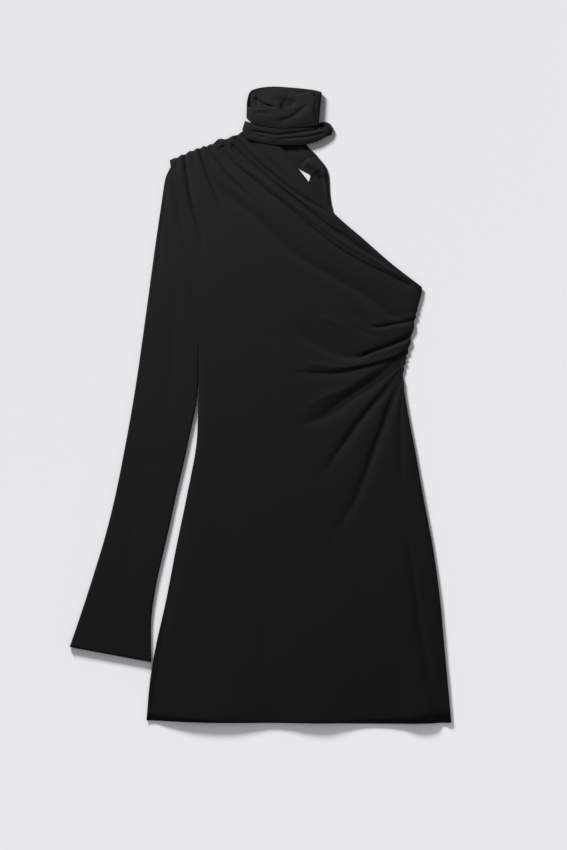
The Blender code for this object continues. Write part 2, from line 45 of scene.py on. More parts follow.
# Cloth, in millimetres.
SHELL = 0.7  # thickness of the cloth that is drawn
EDGE_LEVEL = 2.9  # height of the front at its seams and hem
TOP = 5.5  # height of the front and of the sleeve where no crease crosses them

# Light, in metres: a lamp to the upper left, and an even white world.
LAMP_PLACE = (-0.76, 1.42, 0.78)
LAMP_RADIUS = 0.22
# Light on a face that is turned to the lamp, one metre away, in the world light's own unit.
LAMP_STRENGTH = 8.4
LAMP_WATTS = 39.5  # lamp power for a strength of 1
WORLD_STRENGTH = 0.45
BACKGROUND = (0.80, 0.815, 0.847)
FLOOR_HALF = 1.5
FLOOR_LEVEL = -0.0004

# The dress's black jersey.
JERSEY_COLOUR = (0.0053, 0.0053, 0.0054, 1)
JERSEY_ROUGHNESS = 0.8
JERSEY_SPECULAR = 0.05
JERSEY_SHEEN = 0.01
JERSEY_SHEEN_ROUGHNESS = 0.5

# The picture, in its points, and the camera, in millimetres. The origin is the point that lies over
# the frame's origin.
PICTURE_WIDTH = 567
PICTURE_HEIGHT = 850
PICTURE_SCALE = 1.45
PICTURE_ORIGIN = (260.5, 405)
LENS = 85
SENSOR_HEIGHT = 36
CAMERA_OVER = 0.005  # height in metres at which the picture's scale is exact

Point = namedtuple("Point", "x y")

NECK_EDGE = [Point(24, 382), Point(2, 387), Point(-24, 397)]
SHOULDER_SEAM = [
    Point(-24, 397), Point(-36, 391.5), Point(-47, 387), Point(-60, 385), Point(-72, 378),
    Point(-85, 374), Point(-99, 369), Point(-117, 361), Point(-132, 355),
]
ARMHOLE = [Point(-132, 355), Point(-109, 222), Point(-91, 87)]
LEFT_SIDE_SEAM = [
    Point(-91, 87), Point(-90, 29), Point(-91, -22), Point(-94, -65), Point(-108, -138),
    Point(-123, -210), Point(-137, -283), Point(-153, -355), Point(-161, -406), Point(-165.5, -457.5),
]
RIGHT_SIDE_SEAM = [
    Point(234, 171), Point(233.5, 162), Point(227, 138), Point(219.5, 102), Point(210, 61),
    Point(207, 44), Point(211, 4), Point(224, -65), Point(237, -138), Point(250.5, -210),
    Point(260.5, -283), Point(267, -355), Point(272.5, -413), Point(277, -462.5),
]

# The lines that the cloth of the front hangs in. start and end are distances along the left and
# right edges; the points stand at each fifth of the way.
DrapeLine = namedtuple("DrapeLine", "name place start x1 y1 x2 y2 x3 y3 x4 y4 end")
DRAPE_LINES = [
    DrapeLine("neckline", 0, 0, 61, 335, 105, 280, 150, 240, 190.5, 204.5, 0),
    DrapeLine("neck fold 1", 1, 47, 8, 345, 57, 302, 109, 264, 169, 214, 7),
    DrapeLine("neck fold 2", 2, 60, -7, 341, 43, 300, 104, 255, 165, 209, 13),
    DrapeLine("neck fold 3", 3, 79, -21, 336, 33, 290, 94, 245, 159, 200, 18),
    DrapeLine("chest fold 1", 4, 100, -38, 325, 17, 274, 83, 228, 156, 180, 29),
    DrapeLine("chest fold 2", 5, 109, -53, 310, 4, 251, 76, 199, 153, 152, 40),
    DrapeLine("chest fold 3", 6, 119, -63, 299, -17, 219, 59, 148, 141, 115, 49),
    DrapeLine("side fold 1", 7, 129, -79, 286, -40, 186, 38, 100, 131, 73, 75),
    DrapeLine("side fold 2", 8, 142, -92, 270, -58, 160, 7, 61, 107, 44, 91),
    DrapeLine("waist fold 1", 9, 155, -100, 256, -70, 135, -13, 21, 92, -3, 103),
    DrapeLine("shoulder tip", 10, 166.5, -106, 242, -80, 114, -28, -3, 82, -20, 109),
    DrapeLine("armhole 1", 10.25, 235, -99, 180, -72, 68, -17, -28, 90, -27, 111),
    DrapeLine("armhole 2", 10.5, 300, -91, 120, -62, 23, -3, -55, 100, -33, 113),
    DrapeLine("armhole 3", 10.75, 370, -82, 60, -47, -30, 16, -79, 111, -39, 115),
    DrapeLine("waist fold 2", 11, 438, -72, 1, -30, -81, 38, -103, 123, -46, 117),
    DrapeLine("skirt fold 1", 12, 547, -70, -123, -24, -210, 60, -228, 141, -116, 130),
    DrapeLine("skirt fold 2", 13, 664, -80, -246, -15, -329, 86, -335, 173, -196, 159),
    DrapeLine("skirt fold 3", 14, 812, -80, -377, 7, -413, 108, -413, 205, -312, 351),
    DrapeLine("hem", 15, 990, -78, -460.5, 11, -461, 99, -461.5, 188, -462.5, 640.5),
]

Drop = namedtuple("Drop", "distance share")
LEFT_DROPS = [
    Drop(0, 0.3), Drop(40, 0.3), Drop(60, 0.9), Drop(155, 0.9), Drop(175, 0.3), Drop(210, 0.0),
    Drop(390, 0.0), Drop(425, 0.4), Drop(445, 1.0), Drop(990, 1.0),
]
SIDE_ROLL = 15.0
HEM_ROLL = 2.5
NECKLINE_ROLL = 5.0
HEM_DROP = 0.3
NECKLINE_DROP = 0.7

# Creases. The points are places in the picture, which from_picture turns into millimetres. A crease
# is depth deep on its line and rises over the widths to its left and its right, seen along it. A
# ridge has a negative depth. The fades are the shares of its length over which its ends die out.
Crease = namedtuple("Crease", "name depth left right start_fade end_fade points")
CREASES = [
    Crease("shoulder 1", 1.0, 2.5, 4.0, 0.0, 0.6, [(177, 157), (177, 168), (178, 182)]),
    Crease("shoulder 2", 4.2, 2.0, 3.6, 0.0, 0.6,
           [(184.5, 152), (185.5, 163), (187.5, 176), (190.5, 195), (195, 215), (200, 232), (204, 248),
            (211, 270)]),
    Crease("shoulder 3", 1.0, 2.5, 4.0, 0.0, 0.6, [(191.5, 149), (193, 160), (196, 172)]),
    Crease("shoulder 4", 4.2, 1.8, 3.4, 0.0, 0.5,
           [(199.5, 147), (202.5, 158), (208, 172), (213, 187), (219, 202), (224, 213), (229, 227)]),
    Crease("chest, broad", 3.4, 10.0, 6.0, 0.15, 0.08,
           [(206, 168), (220, 188), (235, 201), (250, 213), (264, 226), (281, 242), (298, 256),
            (320, 270), (340, 281), (355, 289), (370, 299), (381, 307), (393, 316), (413, 318)]),
    Crease("shoulder 5", 1.2, 2.0, 3.5, 0.0, 0.5, [(205, 145), (208, 155), (213, 164)]),
    Crease("shoulder 6", 2.8, 1.8, 3.2, 0.0, 0.5,
           [(209.5, 146), (213, 156), (220, 165), (228, 175), (236, 184), (244, 192), (254, 202),
            (263, 211)]),
    Crease("shoulder 7", 1.1, 2.0, 3.0, 0.0, 0.5, [(217, 144), (221, 152), (227, 161), (235, 171)]),
    Crease("neck, lowest", 2.6, 2.0, 6.0, 0.02, 0.05,
           [(222, 144), (227, 153), (235, 164), (247, 174), (259, 184), (270, 193), (282, 202),
            (299, 216), (320, 234), (340, 249), (360, 261), (381, 271), (401, 281), (417, 287)]),
    Crease("neck, lit roll 1", -1.5, 2.2, 2.0, 0.1, 0.1,
           [(238, 162), (250, 171), (262, 180), (272, 188), (285, 199), (300, 210), (310, 218),
            (321, 227), (333, 236), (350, 247), (361, 253), (373, 260), (386, 268), (401, 276),
            (415, 283)]),
    Crease("neck, darkest", 6.2, 4.6, 2.0, 0.0, 0.3,
           [(233, 148), (242, 157), (251, 165), (261, 173), (271, 181), (281, 190), (294, 200),
            (306, 209), (319, 219), (331, 229), (346, 239), (359, 248), (371, 255), (386, 263),
            (397, 270)]),
    Crease("neck, lit roll 2", -1.6, 2.4, 2.0, 0.2, 0.3,
           [(258, 166), (275, 180), (286, 189), (300, 200), (312, 210), (325, 221), (337, 229),
            (350, 236)]),
    Crease("neck, upper", 4.6, 3.6, 2.0, 0.0, 0.3,
           [(236, 139), (243, 147), (251, 156), (262, 166), (275, 177), (290, 189), (303, 198),
            (315, 205), (325, 211), (333, 218)]),
    Crease("under the collar", 3.0, 6.0, 2.6, 0.0, 0.5,
           [(243, 136), (254, 147), (265, 159), (277, 169), (289, 181), (301, 192), (314, 202)]),
    Crease("belly", 0.9, 10.0, 8.0, 0.4, 0.4, [(239, 288), (248, 312), (266, 335), (289, 349)]),
    Crease("side 1", 3.2, 3.4, 2.4, 0.5, 0.0,
           [(357, 315), (366, 322), (373, 327), (382, 327), (391, 325), (403, 323), (416, 321)]),
    Crease("side 1, hollow", 1.2, 8.0, 5.0, 0.4, 0.4, [(350, 309), (362, 317), (373, 325)]),
    Crease("side 2", 0.9, 3.0, 2.0, 0.3, 0.3,
           [(345, 325), (353, 328), (361, 330), (369, 334), (385, 337), (396, 338)]),
    Crease("side 3, ridge", -1.0, 3.0, 3.0, 0.3, 0.4, [(318, 315), (330, 320), (341, 326), (353, 333)]),
    Crease("side 3, hollow", 3.2, 20.0, 5.0, 0.5, 0.3,
           [(285, 325), (297, 333), (310, 341), (325, 350), (341, 356), (357, 358), (370, 354)]),
    Crease("side 3", 4.6, 4.0, 2.2, 0.35, 0.0,
           [(345, 352), (353, 357), (362, 357), (371, 353), (382, 349), (393, 345), (403, 341),
            (412, 336)]),
    Crease("side 4, ridge", -1.2, 3.5, 3.0, 0.2, 0.0,
           [(300, 364), (312, 364), (322, 365), (333, 367.5), (346, 367), (361, 365), (376, 361),
            (390, 357), (405, 350)]),
    Crease("side 4", 2.8, 3.4, 7.5, 0.35, 0.0,
           [(288, 371), (300, 372), (315, 373), (331, 373.5), (346, 372), (361, 368), (376, 365),
            (390, 361), (405, 354)]),
    Crease("side 5, ridge", -1.6, 6.0, 7.0, 0.4, 0.0,
           [(286, 412), (305, 409), (318, 400), (331, 394), (345, 389), (359, 380), (374, 370),
            (390, 361), (404, 353)]),
    Crease("side 5", 5.2, 9.5, 8.0, 0.4, 0.0,
           [(280, 426), (300, 424), (320, 419), (332, 412), (344, 403), (354, 396), (367, 388),
            (381, 378), (392, 369), (405, 358)]),
    Crease("side 6", 4.4, 4.6, 6.0, 0.4, 0.0,
           [(314, 482), (325, 470), (335, 456), (345, 442), (355, 428), (365, 415), (375, 403),
            (383, 394), (391, 384), (403, 371)]),
    Crease("side 7", 4.2, 5.2, 6.0, 0.5, 0.0,
           [(315, 575), (325, 550), (337, 529), (347, 514), (356, 498), (361, 485), (367, 471),
            (373, 454), (378, 440), (383, 428), (387, 415), (392, 402), (396, 391), (402, 376)]),
    Crease("side 8", 1.8, 3.5, 3.5, 0.1, 0.5,
           [(404, 385), (401, 402), (401, 425), (400.5, 450), (402, 475), (404, 500)]),
    Crease("skirt, right", 3.4, 7.0, 3.0, 0.0, 0.4,
           [(443, 724), (440, 712), (433, 688), (426, 655), (420, 620), (416, 590), (412, 562),
            (409, 540), (407, 515)]),
    Crease("skirt, left", 3.2, 9.0, 4.0, 0.4, 0.0,
           [(192, 470), (182, 520), (172, 570), (164, 620), (158, 660), (153, 695), (150, 720)]),
    Crease("skirt, middle", 0.7, 18.0, 14.0, 0.4, 0.4, [(262, 560), (268, 620), (262, 690)]),
    Crease("skirt, fall", 0.9, 16.0, 20.0, 0.4, 0.3, [(352, 560), (362, 620), (366, 700)]),
]

HemRise = namedtuple("HemRise", "x rise")
HEM_RISES = [
    HemRise(-150, -2.0), HemRise(-122, 0.8), HemRise(-95, 2.7), HemRise(-55, 3.3),
    HemRise(-15, 1.4), HemRise(12, -0.4), HemRise(38, 0.3), HemRise(62, 2.6), HemRise(90, 3.3),
    HemRise(122, 0.2), HemRise(150, -2.0), HemRise(172, -2.4), HemRise(200, -0.8),
    HemRise(224, 2.7), HemRise(245, 2.0), HemRise(265, -1.6),
]
HEM_RISE_REACH = 55.0
SHOULDER_GATHERS = (1.0, 9.5)  # first and last place whose gathers reach the shoulder seam
SIDE_GATHERS = (4.5, 12.5)
SHOULDER_END = 175  # distance along the left edge where the shoulder's gathers stop
PUCKER = 0.4
PUCKER_REACH = 22.0
SCALLOP = 0.9  # how far a gather moves the edge in and out
SCALLOP_REACH = 6
CREASE_POWER = 1.5
CREASE_REACH = 3  # widths after which a crease has died out

# Slight waves of cloth that lies by hand: patches, and ripples across all of it.
UNEVEN = 0.12
PATCH_WIDTH = 17
PATCH_LENGTH = 23
PATCH_SHIFT = 1.3
PATCH_BEND = 31
Ripple = namedtuple("Ripple", "share x_length y_length shift")
RIPPLES = [Ripple(0.8, 41, -29, 0.4), Ripple(0.5, 11, 14, 0.0)]

# Rows of the front's mesh between one drape line and the next, up to each place.
RowCrowd = namedtuple("RowCrowd", "to_place rows")
ROW_CROWDS = [RowCrowd(3, 16), RowCrowd(11, 27), RowCrowd(13, 18), RowCrowd(15, 14)]
FRONT_COLUMNS = 140
LOWEST = 1.9  # middle of the front's cloth where it lies on the back
LOWEST_SOFTNESS = 3
EDGE_CURVE_STEPS = 30
CREASE_CURVE_STEPS = 20
HEM_CURVE_POINTS = 200
POINTS_AT_ONCE = 4000  # points that are compared with a line in one go
BACK_ROWS = 90
BACK_COLUMNS = 40
BACK_FIRST_PLACE = 0.5
BACK_INSET = 0.5
BACK_TOP = 0.8
BACK_UNDERSIDE = 0.1


def blend(before, first, second, after, share):
    square = share * share
    return 0.5 * (
        2 * first
        + (second - before) * share
        + (2 * before - 5 * first + 4 * second - after) * square
        + (3 * first - before - 3 * second + after) * square * share
    )


def smooth_at(points, place):
    """Value at a fractional place in a list of points that the curve passes through."""
    last = len(points) - 1
    index = min(int(place), last - 1)
    before = points[index - 1] if index else 2 * points[0] - points[1]
    after = points[index + 2] if index + 2 <= last else 2 * points[last] - points[last - 1]
    return blend(before, points[index], points[index + 1], after, place - index)


def smooth_curve(points, count):
    points = np.asarray(points, float)
    return np.array([smooth_at(points, place) for place in np.linspace(0, len(points) - 1, count)])


def edge_line(stretches):
    curves = [smooth_curve(stretch, EDGE_CURVE_STEPS * len(stretch)) for stretch in stretches]
    return np.vstack([curves[0]] + [curve[1:] for curve in curves[1:]])


def distances_along(line):
    steps = np.hypot(*np.diff(line, axis=0).T)
    return np.concatenate([[0.0], np.cumsum(steps)])


def point_at(line, distance):
    along = distances_along(line)
    return np.array([np.interp(distance, along, line[:, axis]) for axis in (0, 1)])


LEFT_EDGE = edge_line([NECK_EDGE, SHOULDER_SEAM, ARMHOLE, LEFT_SIDE_SEAM])
RIGHT_EDGE = edge_line([RIGHT_SIDE_SEAM])
LINE_PLACES = [line.place for line in DRAPE_LINES]
LINE_STARTS = [line.start for line in DRAPE_LINES]
LINE_ENDS = [line.end for line in DRAPE_LINES]
LINE_MIDDLES = np.array([line[3:11] for line in DRAPE_LINES], float).reshape(-1, 4, 2)


def drape_points(place):
    start = point_at(LEFT_EDGE, np.interp(place, LINE_PLACES, LINE_STARTS))
    end = point_at(RIGHT_EDGE, np.interp(place, LINE_PLACES, LINE_ENDS))
    index = np.interp(place, LINE_PLACES, range(len(DRAPE_LINES)))
    return np.vstack([start, smooth_at(LINE_MIDDLES, index), end])


def drape_line(place, columns):
    points = drape_points(place)
    return np.array([smooth_at(points, across * 5) for across in columns])


def crowded(count, crowding=0.5):
    even = np.linspace(0, 1, count)
    eased = 0.5 - 0.5 * np.cos(math.pi * even)
    return (1 - crowding) * even + crowding * eased


def nearest(points, line):
    """Distance of each point to a line, the same with a sign (left is positive), and the line's index."""
    shape = points.shape[:-1]
    flat = points.reshape(-1, 2)
    distance = np.empty(len(flat))
    signed = np.empty(len(flat))
    index = np.empty(len(flat), int)
    along = np.gradient(line, axis=0)
    for first in range(0, len(flat), POINTS_AT_ONCE):
        these = slice(first, first + POINTS_AT_ONCE)
        part = flat[these]
        gaps = np.hypot(part[:, 0, None] - line[:, 0], part[:, 1, None] - line[:, 1])
        best = gaps.argmin(axis=1)
        rows = np.arange(len(part))
        away = part - line[best]
        side = along[best, 0] * away[:, 1] - along[best, 1] * away[:, 0]
        distance[these] = gaps[rows, best]
        signed[these] = gaps[rows, best] * np.where(side < 0, -1, 1)
        index[these] = best
    return distance.reshape(shape), signed.reshape(shape), index.reshape(shape)


def roll_down(distance, reach):
    inside = 1 - np.clip(distance / reach, 0, 1)
    return 1 - np.sqrt(np.clip(1 - inside * inside, 0, 1))


def ease(share):
    share = np.clip(share, 0, 1)
    return share * share * (3 - 2 * share)


def from_picture(points):
    points = np.asarray(points, float)
    return (points - PICTURE_ORIGIN) * (PICTURE_SCALE, -PICTURE_SCALE)


def crease_height(plan, creases):
    """Height that the creases add, in millimetres."""
    height = np.zeros(plan.shape[:-1])
    for crease in creases:
        line = smooth_curve(from_picture(crease.points), CREASE_CURVE_STEPS * len(crease.points))
        reach = CREASE_REACH * max(crease.left, crease.right)
        inside = (plan > line.min(axis=0) - reach) & (plan < line.max(axis=0) + reach)
        near = np.all(inside, axis=-1)
        if not near.any():
            continue
        distance, signed, index = nearest(plan[near], line)
        along = index / (len(line) - 1)
        width = np.where(signed > 0, crease.left, crease.right)
        strength = np.exp(-np.abs(distance / width) ** CREASE_POWER)
        if crease.start_fade > 0:
            strength = strength * ease(along / crease.start_fade)
        if crease.end_fade > 0:
            strength = strength * ease((1 - along) / crease.end_fade)
        height[near] -= crease.depth * strength
    return height


def unevenness(plan):
    """Slight waves of cloth that lies by hand, in millimetres."""
    x, y = plan[..., 0], plan[..., 1]
    bend = 0.8 * np.sin(y / PATCH_BEND)
    waves = np.sin(x / PATCH_WIDTH + bend) * np.sin(y / PATCH_LENGTH + PATCH_SHIFT)
    for ripple in RIPPLES:
        waves = waves + ripple.share * np.sin(x / ripple.x_length + y / ripple.y_length + ripple.shift)
    return UNEVEN * waves


def gather_share(places, limits, distance):
    first, last = limits
    inside = ease(places - first + 0.5) * ease(last + 0.5 - places)
    return inside * np.exp(-((distance / PUCKER_REACH) ** 2))


def sheet_faces(rows, columns, closed_rows=False, closed_columns=False):
    """Faces of a doubled grid: the upper side, the lower side and the rims that join them."""
    row_steps = rows if closed_rows else rows - 1
    column_steps = columns if closed_columns else columns - 1
    row, column = np.meshgrid(np.arange(row_steps), np.arange(column_steps), indexing="ij")
    next_row = (row + 1) % rows
    next_column = (column + 1) % columns
    corners = np.stack([row * columns + column, row * columns + next_column,
                        next_row * columns + next_column, next_row * columns + column], axis=-1)
    faces = [corners.reshape(-1, 4), corners.reshape(-1, 4)[:, ::-1] + rows * columns]
    size = rows * columns

    def rim(line):
        pairs = np.stack([line[1:], line[:-1]], axis=1)
        return np.column_stack([pairs[:, 0], pairs[:, 0] + size, pairs[:, 1] + size, pairs[:, 1]])

    grid = np.arange(size).reshape(rows, columns)
    if not closed_columns:
        ends = np.vstack([grid, grid[:1]]) if closed_rows else grid
        faces.append(rim(ends[:, 0]))
        faces.append(rim(ends[::-1, -1]))
    if not closed_rows:
        ends = np.hstack([grid, grid[:, :1]]) if closed_columns else grid
        faces.append(rim(ends[0][::-1]))
        faces.append(rim(ends[-1]))
    return np.vstack(faces)


def make_cloth(name, upper, lower, node, material, closed_rows=False, closed_columns=False):
    rows, columns = upper.shape[:2]
    points = np.vstack([upper.reshape(-1, 3), lower.reshape(-1, 3)]) * MM
    faces = sheet_faces(rows, columns, closed_rows, closed_columns)
    corners = points[faces[:, :3]]
    if np.linalg.det(corners).sum() < 0:
        faces = faces[:, ::-1]
    mesh = bpy.data.meshes.new(name)
    mesh.from_pydata(points.tolist(), [], faces.tolist())
    mesh.shade_smooth()
    mesh.materials.append(material)
    piece = bpy.data.objects.new(name, mesh)
    bpy.context.scene.collection.objects.link(piece)
    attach(piece, "root")
    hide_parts(node)
    return piece


def offset_sides(middle, closed_rows=False, thickness=SHELL):
    if closed_rows:
        padded = np.concatenate([middle[-1:], middle, middle[:1]])
        down = (padded[2:] - padded[:-2]) / 2
    else:
        down = np.gradient(middle, axis=0)
    normals = np.cross(np.gradient(middle, axis=1), down)
    normals /= np.linalg.norm(normals, axis=-1, keepdims=True)
    return middle + normals * thickness / 2, middle - normals * thickness / 2


def jersey():
    material = bpy.data.materials.new("black_jersey")
    material.use_nodes = True
    shader = material.node_tree.nodes["Principled BSDF"]
    shader.inputs["Base Color"].default_value = JERSEY_COLOUR
    shader.inputs["Roughness"].default_value = JERSEY_ROUGHNESS
    shader.inputs["Specular IOR Level"].default_value = JERSEY_SPECULAR
    shader.inputs["Sheen Weight"].default_value = JERSEY_SHEEN
    shader.inputs["Sheen Roughness"].default_value = JERSEY_SHEEN_ROUGHNESS
    return material


def row_places():
    places = [0.0]
    for crowd in ROW_CROWDS:
        first = places[-1]
        count = round((crowd.to_place - first) * crowd.rows)
        places.extend(first + (crowd.to_place - first) * (step + 1) / count for step in range(count))
    return np.array(places)


def front_surface():
    places = row_places()
    across = crowded(FRONT_COLUMNS)
    plan = np.array([drape_line(place, across) for place in places])
    row = places[:, None]
    from_left, _, left_index = nearest(plan, LEFT_EDGE)
    from_right = nearest(plan, RIGHT_EDGE)[0]
    from_neckline = nearest(plan, plan[0])[0]
    from_hem = nearest(plan, plan[-1])[0]
    left_along = distances_along(LEFT_EDGE)[left_index]
    share = np.interp(left_along, [drop.distance for drop in LEFT_DROPS],
                      [drop.share for drop in LEFT_DROPS])
    drop = np.maximum.reduce([
        share * roll_down(from_left, SIDE_ROLL),
        roll_down(from_right, SIDE_ROLL),
        HEM_DROP * roll_down(from_hem, HEM_ROLL),
        NECKLINE_DROP * roll_down(from_neckline, NECKLINE_ROLL),
    ])
    hem = np.array(HEM_RISES, float)
    wave = np.linspace(0, len(hem) - 1, HEM_CURVE_POINTS)
    rise = np.interp(plan[..., 0], [smooth_at(hem[:, 0], at) for at in wave],
                     [smooth_at(hem[:, 1], at) for at in wave])
    rise *= np.exp(-((from_hem / HEM_RISE_REACH) ** 2))
    rise *= 1 - np.maximum(roll_down(from_right, SIDE_ROLL), share * roll_down(from_left, SIDE_ROLL))
    shoulder = gather_share(row, SHOULDER_GATHERS, from_left) * (left_along < SHOULDER_END)
    side = gather_share(row, SIDE_GATHERS, from_right)
    fold = np.cos(2 * math.pi * row)
    loft = TOP + crease_height(plan, CREASES) + unevenness(plan) - PUCKER * fold * (shoulder + side)
    height = loft * (1 - drop) + drop * EDGE_LEVEL + rise
    height = LOWEST + np.logaddexp(0, (height - LOWEST) * LOWEST_SOFTNESS) / LOWEST_SOFTNESS
    plan[..., 1] -= SCALLOP * fold * shoulder * np.exp(-from_left / SCALLOP_REACH)
    plan[..., 0] -= SCALLOP * fold * side * np.exp(-from_right / SCALLOP_REACH)
    return np.dstack([plan, height])


def build_front(material):
    middle = front_surface()
    upper, lower = offset_sides(middle)
    cloth = make_cloth("front_cloth", upper, lower, "front_panel", material)


SleeveRow = namedtuple("SleeveRow", "outer_x outer_y inner_x inner_y")
SLEEVE = [
    SleeveRow(-277, -351, -158.5, -373),
    SleeveRow(-266, -319, -159, -341),
    SleeveRow(-254, -283, -158, -306),
    SleeveRow(-240, -239, -151.5, -262),
    SleeveRow(-227, -196, -142, -219),
    SleeveRow(-215.5, -152, -131.5, -174),
    SleeveRow(-206, -109, -122, -129),
    SleeveRow(-197.5, -65, -111, -83),
    SleeveRow(-189.5, -22, -102, -41),
    SleeveRow(-181, 29, -94.6, -7),
    SleeveRow(-173.5, 80, -91.6, 16),
    SleeveRow(-166.5, 130, -90.8, 36),
    SleeveRow(-159.5, 181, -90.8, 52),
    SleeveRow(-152.5, 232, -90.8, 67),
    SleeveRow(-145, 283, -90.8, 78),
    SleeveRow(-138.5, 326, -90.8, 84),
    SleeveRow(-131.5, 355, -91, 87),
]
SLEEVE_CREASES = [
    Crease("fold beside the outer edge", 1.3, 2.2, 3.0, 0.3, 0.4,
           [(167, 172), (166, 190), (163.5, 212), (161, 232), (159, 262), (157, 290)]),
    Crease("shoulder", 1.2, 2.5, 3.5, 0.3, 0.5,
           [(173, 172), (173.5, 190), (176, 208), (180, 228), (182, 245)]),
    Crease("shoulder, short", 0.9, 2.0, 3.0, 0.2, 0.6, [(178, 165), (178.5, 180), (180, 196)]),
    Crease("underarm", 1.2, 5.0, 4.0, 0.4, 0.4, [(195, 235), (197, 262), (199, 290), (200, 318)]),
    Crease("long", 0.8, 9.0, 8.0, 0.3, 0.4, [(176, 262), (175, 310), (172, 360), (166, 410), (158, 450)]),
    Crease("elbow", 0.7, 9.0, 8.0, 0.4, 0.4, [(130, 452), (148, 462), (166, 470)]),
    Crease("forearm", 0.7, 11.0, 9.0, 0.3, 0.3, [(140, 470), (134, 520), (122, 580), (112, 630)]),
]
SLEEVE_RINGS = 170
SLEEVE_FLAT_POINTS = 46
SLEEVE_ROLL_POINTS = 7
SLEEVE_UNDERLAP = 5.0  # how far the sleeve's cloth reaches in under the front at the armhole
SLEEVE_UNDERLAP_DROP = 1.0
SLEEVE_BOWED_ROWS = 4  # rows of the table over which the rings bend to the armhole's bow
SLEEVE_CLEARANCE = 0.05

Section = namedtuple("Section", "name low_x low_y low_z high_x high_y high_z bulge")
LOWER_WRAP = [
    Section("left fold", -26, 399.5, 5.5, -22, 412, 5.5, 0.8),
    Section("front", -20, 387, 6.5, -15, 409, 8.6, 1.5),
    Section("front", -4, 381.5, 6.6, 2, 407, 9.4, 1.8),
    Section("front", 17, 377.5, 6.6, 21, 405, 9.6, 1.9),
    Section("front", 42, 376.5, 6.6, 45, 404, 9.6, 1.9),
    Section("front", 64, 377.5, 6.6, 66, 403, 9.4, 1.7),
    Section("front", 81, 381.5, 6.2, 82, 401.5, 8.8, 1.3),
    Section("right fold", 95, 389, 6.0, 98, 402.5, 7.2, 0.8),
    Section("tip", 103, 392.5, 3.8, 104.5, 400, 4.2, 0.0),
    Section("right fold", 99, 391, 1.4, 101, 408, 1.4, 0.0),
    Section("back", 89, 390, 0.5, 91, 411, 0.5, 0.0),
    Section("back", 74, 389, 0.5, 76, 406.5, 0.5, 0.0),
    Section("back", 50, 389.5, 0.5, 53, 406.5, 0.5, 0.0),
    Section("back", 21, 389.5, 0.5, 24, 406.5, 0.5, 0.0),
    Section("back", -6, 390.6, 0.5, -4, 408, 0.5, 0.0),
    Section("left fold", -20, 399.5, 1.7, -18, 410, 1.7, 0.0),
]
LOWER_WRAP_CREASES = [
    Crease("upper long fold", 2.2, 2.0, 2.6, 0.2, 0.1,
           [(243, 131), (252, 131.5), (262, 133), (276, 135), (290, 134), (303, 132), (314, 130.5),
            (324, 127)]),
    Crease("middle fold", 1.5, 1.6, 2.0, 0.1, 0.3, [(246, 134), (254, 134.5), (262, 137), (268, 139)]),
    Crease("lower long fold", 1.6, 1.8, 2.0, 0.3, 0.1,
           [(270, 140), (280, 139.5), (292, 138.3), (304, 137.5), (315, 135.5), (327, 132.5)]),
    Crease("tip", 1.5, 1.5, 1.8, 0.1, 0.3, [(328, 122), (325.5, 125), (323, 129), (318, 132)]),
]
UPPER_WRAP = [
    Section("left fold", -20, 416, 7.5, -19.5, 434, 7.5, 0.5),
    Section("front", -13.5, 409, 10.4, -13.5, 431, 11.2, 1.2),
    Section("front", 2, 404, 10.6, 2, 429, 12.2, 1.8),
    Section("front", 28, 400.5, 10.8, 28, 428, 12.0, 2.2),
    Section("front", 54, 401.5, 10.8, 49, 429, 12.0, 2.2),
    Section("front", 75, 403.5, 10.4, 72, 441.5, 11.4, 2.0),
    Section("right fold", 82.5, 404.5, 8.8, 84.5, 451.5, 9.0, 0.8),
    Section("right fold", 84, 407.5, 6.5, 88.5, 453, 5.5, 0.0),
    Section("right fold", 81, 411.5, 3.2, 83, 456, 2.0, 0.0),
    Section("back", 69, 411, 0.5, 70, 458.5, 0.5, 0.0),
    Section("back", 43, 411, 0.5, 43, 461.2, 0.5, 0.0),
    Section("back", 17, 411, 0.5, 16, 462.5, 0.5, 0.0),
    Section("back", -6, 412.5, 0.5, -6, 459.5, 0.5, 0.0),
    Section("left fold", -16, 416, 2.6, -16, 453, 2.6, 0.0),
]
UPPER_WRAP_CREASES = [
    Crease("hollow under the rim", 2.2, 3.0, 6.0, 0.3, 0.3,
           [(268, 121), (278, 121.5), (287, 119.5), (294, 116), (300, 111), (306, 107), (313, 103)]),
    Crease("rim", -0.9, 1.8, 1.6, 0.1, 0.1,
           [(252, 110.5), (265, 110.5), (280, 110), (292, 109.5), (300, 105.5), (309, 99.5), (318, 94)]),
    Crease("low left", 1.0, 2.5, 3.0, 0.2, 0.4, [(252, 115), (262, 114), (272, 115)]),
    Crease("right end", 1.0, 1.6, 2.0, 0.2, 0.2, [(316.5, 98), (315.5, 108), (316, 118), (317, 126)]),
]
INNER_WRAP = [
    Section("left end", -13, 426, 4.0, -14, 451, 3.6, 0.0),
    Section("crease", 2, 427, 6.4, 2, 457.5, 3.0, 0.6),
    Section("crease", 14, 427, 6.8, 14, 459.5, 2.2, 0.9),
    Section("crease", 24, 427, 6.6, 24, 459.8, 2.0, 0.9),
    Section("crease", 34, 427, 4.0, 34, 459.8, 2.0, 0.9),
    Section("crease", 44, 427, 4.0, 43, 459, 2.0, 0.8),
    Section("crease", 58, 432, 6.0, 57, 457.5, 2.4, 0.5),
    Section("right end", 79, 440, 5.0, 77, 454, 3.0, 0.0),
]
